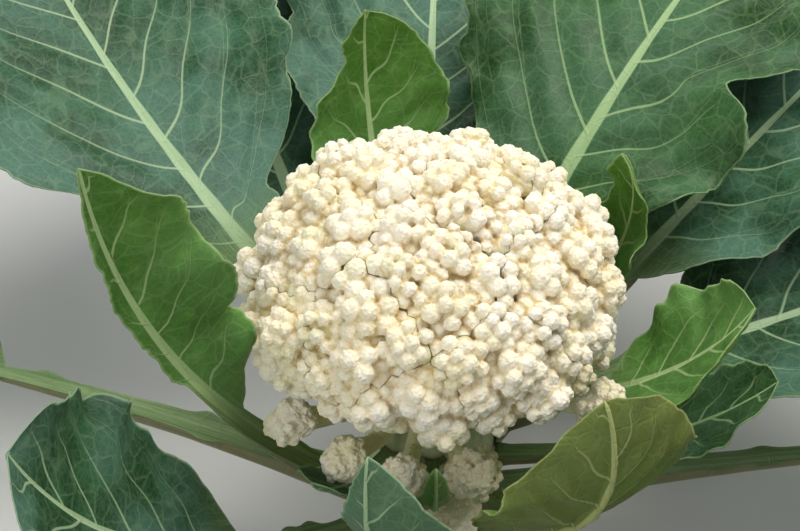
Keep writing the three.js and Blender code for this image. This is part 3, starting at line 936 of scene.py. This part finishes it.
def leaf_outline(name, leaf, share, rng):
    """Half-widths to the right and left with loose lobes, bays and small teeth, and the rib's own."""
    length = leaf["length"]
    rib = leaf["foot"] * (0.74 * (1 - share) ** 1.5 + 0.10) * np.where(share < 0.1, 1.05, 1.0)
    plain = blade_half_width(leaf, share)
    half = np.empty((len(share), 2))
    for column, half_name in enumerate(("right", "left")):
        lobes = 1 + 0.09 * leaf["ruffle"] * waves(share, rng, 4, 2.0, 6.0)
        lobes += 0.04 * waves(share, rng, 3, 8, 15)
        lobes *= 1 + leaf["uneven"] * (2 * column - 1)
        tooth = share * length / TOOTH_PITCH + 0.7 * waves(share, rng, 3, 3.0, 9.0)
        strength = 0.8 + 0.9 * waves(share, rng, 3, 5.0, 14.0)
        teeth = np.abs(np.sin(tooth * math.pi)) ** 0.7 * strength
        shape = plain * lobes + TOOTH_HEIGHT * (teeth - 0.5) * smoothstep(0, 12 * MM, plain)
        for side_name, where, deep, long in BAYS.get(name, ()):
            if side_name == half_name:
                shape -= deep * MM * np.exp(-np.abs((share - where) * length / (long * MM)) ** 1.6)
        # Small leafy nubs stand on the bare stalk of a big leaf.
        nub = np.zeros_like(share)
        for _ in range(2):
            where = leaf["stalk"] * rng.uniform(0.35, 0.92)
            nub += 5 * MM * rng.uniform(0.2, 1.0) * np.exp(-((share - where) * length / (6 * MM)) ** 2)
        wing = rib + 0.7 * MM + nub * (leaf["foot"] > 9 * MM)
        half[:, column] = np.maximum(wing, shape)
    tip_close = np.maximum(np.sqrt(np.clip((1 - share) / 0.012, 0, 1)), 0.02)
    half *= tip_close[:, None]
    return half, np.minimum(rib * tip_close, half.min(axis=1) * 0.96)


def leaf_veins(leaf, share, across, offset, rng):
    """Each point's place in the row of side veins, the gap between two of them, and its blade share.

    Side veins leave the midrib in turn, lean towards the tip and wander a little.
    """
    reach = np.abs(across)[None]
    blade_share = np.clip((share[:, None] - leaf["stalk"]) / (1 - leaf["stalk"]), -0.4, 1)
    blade_length = leaf["length"] * (1 - leaf["stalk"])
    count = max(4.0, 2.5 + blade_length / VEIN_PITCH)
    lean = (0.40 + 0.85 * np.clip(blade_share, 0, 1)) * (1 + 0.30 * reach)
    left_over = 1 - (blade_share - np.abs(offset) * lean / blade_length)
    rung = count * (1 - np.sign(left_over) * np.abs(left_over) ** 1.25)
    for mask, stagger in ((across < 0, 0.0), (across >= 0, 0.45)):
        wander = waves(share, rng, 3, 1.5, 4.0)[:, None] * 0.20
        wander = wander + waves(reach + share[:, None] * 1.7, rng, 3, 0.8, 2.4)[:, mask] * 0.09
        rung[:, mask] += stagger + wander
    gap = blade_length / (count * 1.25 * np.maximum(np.abs(left_over), 0.12) ** 0.25)
    return rung, gap * np.cos(np.arctan(lean)), blade_share


def leaf_rise(leaf, share, across, width, groove, rung, rng):
    """How far each point goes sideways and up: cup, ruffled edge, quilting, and the rib's groove."""
    reach = np.abs(across)[None]
    bend = leaf["cup"] * reach
    sideways = np.sin(bend) / leaf["cup"] * width * np.sign(across)[None]
    lift = (1 - np.cos(bend)) / leaf["cup"] * width
    size = width / BROAD_BLADE
    edge_wave = np.empty_like(width)
    for mask in (across < 0, across >= 0):
        curve = waves(share, rng, 3, 2.2, 5.0) + waves(share, rng, 3, 6.0, 11.0) * 0.45
        edge_wave[:, mask] = curve[:, None]
    lift = lift + leaf["ruffle"] * RUFFLE_HEIGHT * size * edge_wave * reach ** 2.2
    lift = lift + waves(share, rng, 3, 1.0, 2.4)[:, None] * QUILT_HEIGHT * size * reach
    between_veins = np.sin(np.pi * rung) ** 2 * np.sin(np.pi * np.clip(reach, 0, 1)) ** 0.7
    lift = lift + QUILT_HEIGHT * between_veins * np.minimum(size, 1.2)
    return sideways, lift - groove


def sheet_faces(rows, columns):
    """Faces of a closed sheet: its top, its underside and the wall round its rim."""
    grid = np.arange(rows * columns).reshape(rows, columns)
    upper = np.stack([grid[:-1, 1:], grid[1:, 1:], grid[1:, :-1], grid[:-1, :-1]], axis=-1).reshape(-1, 4)
    lower = upper[:, ::-1] + rows * columns
    rim = np.concatenate([grid[:, 0], grid[-1, 1:], grid[::-1, -1][1:], grid[0, ::-1][1:-1]])
    after = np.roll(rim, -1)
    wall = np.stack([after, after + rows * columns, rim + rows * columns, rim], axis=-1)
    return np.concatenate([upper, lower, wall])


def build_leaf(name, leaf, material, rng):
    """One leaf: its stalk, midrib and blade as a closed sheet that is thick under the ribs."""
    stations = max(24, int(leaf["length"] / LEAF_STEP))
    half_columns = max(10, int(leaf["width"] / 2 / LEAF_STEP * 1.15))
    share, places, side, up = leaf_midrib(leaf, stations)
    even = np.linspace(-1, 1, 2 * half_columns + 1)
    across = np.sign(even) * np.abs(even) ** 1.3
    half, rib = leaf_outline(name, leaf, share, rng)
    width = np.where(across[None] < 0, half[:, :1], half[:, 1:])
    offset = across[None] * width
    aside = np.abs(offset)
    rung, rung_gap, blade_share = leaf_veins(leaf, share, across, offset, rng)

    inside_rib = np.clip(aside / np.maximum(rib[:, None], 1e-5), 0, 1)
    groove = 0.16 * rib[:, None] * smoothstep(0, 1, 1 - inside_rib)
    sideways, lift = leaf_rise(leaf, share, across, width, groove, rung, rng)
    top = places[:, None] + side[:, None] * sideways[..., None] + up[:, None] * lift[..., None]
    normal = unit(np.cross(np.gradient(top, axis=0), np.gradient(top, axis=1)))
    normal[-1] = normal[-2]

    # Underside: thin blade, a deep round rib, and ridges under the side veins.
    reach = np.abs(across)[None]
    rib_depth = rib[:, None] * 1.25 * np.sqrt(1 - inside_rib ** 2)
    from_vein = np.abs(rung - np.round(rung)) * rung_gap
    ridge = RIDGE_DEPTH * np.exp(-(from_vein / (1.5 * MM)) ** 2) * (1 - 0.75 * reach) * (blade_share > 0)
    depth = BLADE * (1 - 0.45 * reach) + rib_depth + ridge * np.minimum(width / BROAD_BLADE, 1.0)
    bottom = top - normal * depth[..., None]
    points = clear_of_stem(np.concatenate([top.reshape(-1, 3), bottom.reshape(-1, 3)]))
    piece = mesh_object(name + "_fine", points, sheet_faces(*width.shape))
    mesh = piece.data

    def both(values):
        return np.tile(np.broadcast_to(values, width.shape).ravel(), 2)

    layer = mesh.uv_layers.new(name="leaf_mm")
    index = np.empty(len(mesh.loops), dtype=np.int32)
    mesh.loops.foreach_get("vertex_index", index)
    uv = np.stack([both(offset), both(share[:, None] * leaf["length"])], axis=-1)[index]
    layer.data.foreach_set("uv", uv.astype(np.float32).ravel())
    measures = {
        "rung": rung,
        "rung_gap": rung_gap / MM,
        "across": aside / np.maximum(width, 1e-5),
        "rib_distance": aside / np.maximum(rib[:, None] * 0.8, 1e-5),
        "edge_distance": (width - aside) / MM,
        "stalk": 1 - smoothstep(leaf["stalk"] - 0.02, leaf["stalk"] + 0.14, share)[:, None],
    }
    for measure, values in measures.items():
        add_attribute(mesh, measure, both(values))
    add_attribute(mesh, "below", np.repeat([0.0, 1.0], width.size))
    finish_piece(piece, name, material)


# ---------------------------------------------------------------- stem
END_RINGS = 14


def end_rings(edge, foot):
    """Rings that close one end of the stem, from its edge to its middle; the woody foot is rippled."""
    rings = []
    angle = np.linspace(0, TURN, len(edge), endpoint=False)
    for step in range(1, END_RINGS):
        shrink = 1 - step / END_RINGS
        ring = edge * [shrink, shrink, 1]
        if foot and step > 1:
            ring[:, 2] = np.abs(0.25 * MM * np.sin(angle * 7 + step) + 0.5 * MM * math.sin(step * 0.9))
        rings.append(ring)
    middle = edge.mean(axis=0) + [0, 0, 0.4 * MM if foot else 0.5 * MM]
    return rings + [np.tile(middle, (len(edge), 1))]


def build_stem(material, leaves):
    """The stem, with a swelling scar under each leaf and a slightly hollowed woody cut."""
    count, sides = 150, 120
    height = np.linspace(0, STEM_TOP - 2 * MM, count)
    angle = np.linspace(0, TURN, sides, endpoint=False)
    radius = stem_radius_at(height)[:, None] * np.ones(sides)[None]
    lump = np.zeros_like(radius)
    scar = np.zeros_like(radius)
    for leaf in leaves:
        turn = (angle[None] - leaf["azimuth"] + math.pi) % TURN - math.pi
        away = np.hypot(turn * STEM_RADIUS / (leaf["foot"] * 1.25),
                        (height[:, None] - leaf["height"] + 5 * MM) / leaf["foot"])
        lump += 1.5 * MM * np.exp(-(away / 1.25) ** 4) - 0.9 * MM * np.exp(-(away / 0.8) ** 4)
        scar += np.exp(-((away - 1.0) / 0.22) ** 2)
    flutes = 0.5 * MM * np.sin(angle * 9 + 1.3) + 0.35 * MM * np.sin(angle * 5 + 0.4)
    fade = smoothstep(0, 8 * MM, height)[:, None]
    radius = np.maximum(radius - 1.3 * MM + fade * (lump + flutes[None]), 1.5 * MM)
    level = np.broadcast_to(height[:, None], radius.shape)
    side = np.stack([radius * np.cos(angle), radius * np.sin(angle), level], axis=-1)

    # One run of rings: from the middle of the cut foot out to its edge, up the side and in again.
    rings = end_rings(side[0], foot=True)[::-1] + list(side) + end_rings(side[-1], foot=False)
    piece = mesh_object("stem_fine", np.concatenate(rings), ring_quads(len(rings), sides))
    ends = np.zeros((END_RINGS, sides))
    add_attribute(piece.data, "scar", np.concatenate([ends, np.clip(scar, 0, 1), ends]).ravel())
    add_attribute(piece.data, "cut", np.concatenate([ends + 1, 0 * scar, ends]).ravel())
    finish_piece(piece, "stem", material)


# ---------------------------------------------------------------- building
def build_cauliflower():
    """Every piece of the plant, each with its own seed."""
    curd_skin = curd_material()
    count = len(FLORET_NODES)
    crowns = np.array([crown(index, count) for index in range(count)])
    lobes = lobe_places(np.random.default_rng(11))
    knobs = knob_places(lobes, np.random.default_rng(12))
    floret_balls = [floret_ball_set(index, crowns, knobs) for index in range(count)]
    for index, name in enumerate(FLORET_NODES):
        build_floret(name, index, crowns, lobes, knobs, floret_balls, curd_skin,
                     np.random.default_rng(100 + index))
    for index, name in enumerate(SIDE_NODES):
        build_side_floret(name, curd_skin, np.random.default_rng(200 + index))

    materials = {look: leaf_material("leaf_" + look, facts) for look, facts in LOOKS.items()}
    leaves = {name: leaf_facts(values) for name, values in LEAVES.items()}
    for index, (name, leaf) in enumerate(leaves.items()):
        build_leaf(name, leaf, materials[leaf["look"]], np.random.default_rng(300 + index))
    build_stem(stem_material(), leaves.values())


# ---------------------------------------------------------------- camera, lights and floor
VIEW_ELEVATION = math.radians(42)
VIEW_DISTANCE = 1.0
LENS_MM = 100
FLOOR_SIZE = 6.0
# Each lamp: where it is, how wide it is, its power and its tint.
LAMPS = {
    "key": ((0.5, 0.3, 1.5), 1.3, 24, (1.0, 0.97, 0.92)),
    "fill": ((-1.1, -1.1, 0.9), 1.4, 11, (0.97, 0.98, 1.0)),
    "back": ((-0.4, 1.5, 0.9), 1.2, 7, (0.98, 0.99, 1.0)),
}


def build_camera():
    """At the photograph's angle: ahead of the plant, looking down on it from the open side."""
    aim = CURD_CENTRE + np.array([-14 * MM, 6 * MM, 6.5 * MM])
    ahead = np.array([0, math.cos(VIEW_ELEVATION), -math.sin(VIEW_ELEVATION)])
    camera = bpy.data.objects.new("camera", bpy.data.cameras.new("camera"))
    camera.data.lens = LENS_MM
    camera.data.sensor_width = 36
    camera.data.clip_start = 0.01
    camera.location = Vector(aim - ahead * VIEW_DISTANCE)
    camera.rotation_euler = (math.pi / 2 - VIEW_ELEVATION, 0, 0)
    bpy.context.scene.collection.objects.link(camera)
    bpy.context.scene.camera = camera


def build_light(name, place, size, power, tint):
    """A soft round lamp aimed at the middle of the plant."""
    lamp = bpy.data.lights.new(name, "AREA")
    lamp.shape = "DISK"
    lamp.size = size
    lamp.energy = power
    lamp.color = tint
    light = bpy.data.objects.new(name, lamp)
    light.location = place
    ahead = Vector((0, 0, 0.12)) - Vector(place)
    light.rotation_euler = ahead.to_track_quat("-Z", "Y").to_euler()
    bpy.context.scene.collection.objects.link(light)


def build_studio():
    """Soft lamps, a pale surrounding and a plain pale floor."""
    for name, lamp in LAMPS.items():
        build_light(name, *lamp)
    world = bpy.data.worlds.new("studio")
    world.use_nodes = True
    background = world.node_tree.nodes["Background"]
    background.inputs["Color"].default_value = colour(0.88, 0.90, 0.90)
    background.inputs["Strength"].default_value = 0.36
    bpy.context.scene.world = world
    bpy.context.scene.view_settings.view_transform = "Standard"

    half = FLOOR_SIZE / 2
    corners = [(-half, -half, 0), (half, -half, 0), (half, half, 0), (-half, half, 0)]
    floor = mesh_object("floor", corners, [(0, 1, 2, 3)], smooth=False)
    n = Nodes("floor_surface")
    speckle = n.noise(n.add("TexCoord").outputs["Object"], 8.0)
    tone = n.mix(speckle, colour(0.62, 0.62, 0.60), colour(0.66, 0.66, 0.64))
    shader = n.add("BsdfPrincipled", {"Base Color": tone, "Roughness": 0.9})
    floor.data.materials.append(n.finish(shader.outputs[0]))


build_camera()
build_studio()
build_cauliflower()
